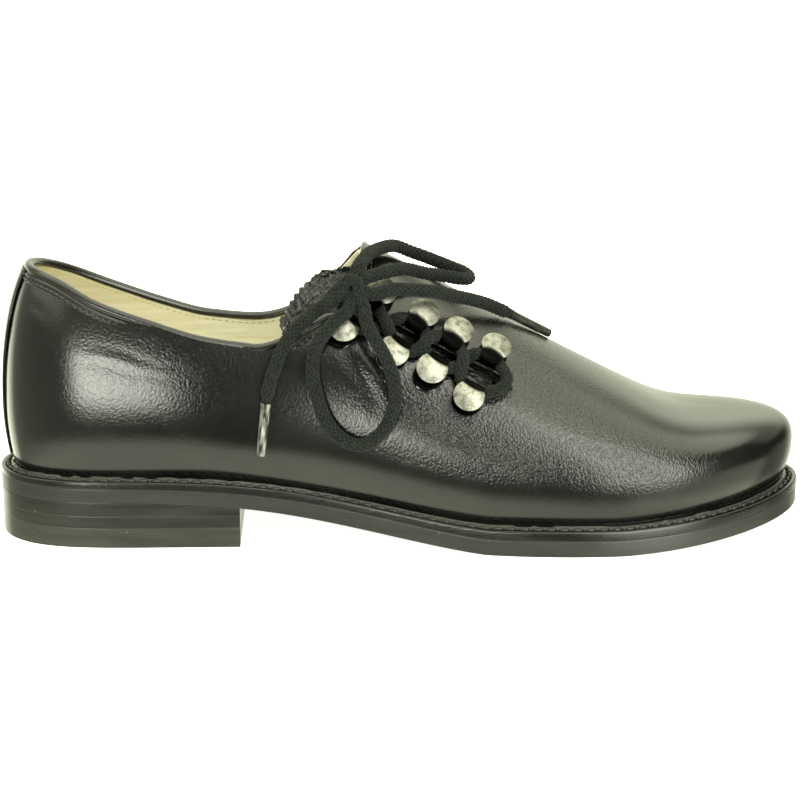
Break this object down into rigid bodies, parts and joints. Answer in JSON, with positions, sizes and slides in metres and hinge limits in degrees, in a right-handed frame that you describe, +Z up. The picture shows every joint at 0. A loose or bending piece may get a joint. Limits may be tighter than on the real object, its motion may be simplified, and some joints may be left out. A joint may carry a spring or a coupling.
{
  "type": "haferl shoe",
  "caption": "Low black leather shoe laced with hooks on its outer side, with a scalloped tongue, cream lining, stitched welt and stacked heel, for the right foot.",
  "frame": {"origin": "on the floor, at the middle of the sole's length and width", "axes": "+X to the toe, +Y to the inner side of the foot, -Y to the outer side with the lacing, +Z up"},
  "size_m": [0.2696, 0.0985, 0.0962],
  "materials": {
    "upper_leather": "smooth waxed black calf with a soft gloss and a fine grain",
    "sole_leather": "black inked and burnished edge",
    "heel_rubber": "matt black",
    "insole_leather": "natural cream, undyed",
    "hook_metal": "antique silver plating with dark speckle",
    "lace_cotton": "round braided black cotton",
    "aglet_plastic": "clear film over black cord end"
  },
  "bodies": {
    "root": {"upper": "upper_leather", "tongue": "upper_leather", "outsole": "sole_leather", "welt": "sole_leather", "heel_lift_upper": "sole_leather", "heel_lift_lower": "sole_leather", "heel_top_piece": "heel_rubber", "insole": "insole_leather", "hook_lateral_1": "hook_metal", "hook_lateral_2": "hook_metal", "hook_lateral_3": "hook_metal", "hook_lateral_4": "hook_metal", "hook_medial_1": "hook_metal", "hook_medial_2": "hook_metal", "hook_medial_3": "hook_metal", "hook_medial_4": "hook_metal", "lace_crossing_1": "lace_cotton", "lace_crossing_2": "lace_cotton", "lace_crossing_3": "lace_cotton", "lace_crossing_4": "lace_cotton", "lace_knot": "lace_cotton", "lace_loop_lower": "lace_cotton", "lace_loop_upper": "lace_cotton", "lace_end_front": "lace_cotton", "lace_end_back": "lace_cotton", "aglet_front": "aglet_plastic", "aglet_back": "aglet_plastic"}
  },
  "joints": []
}
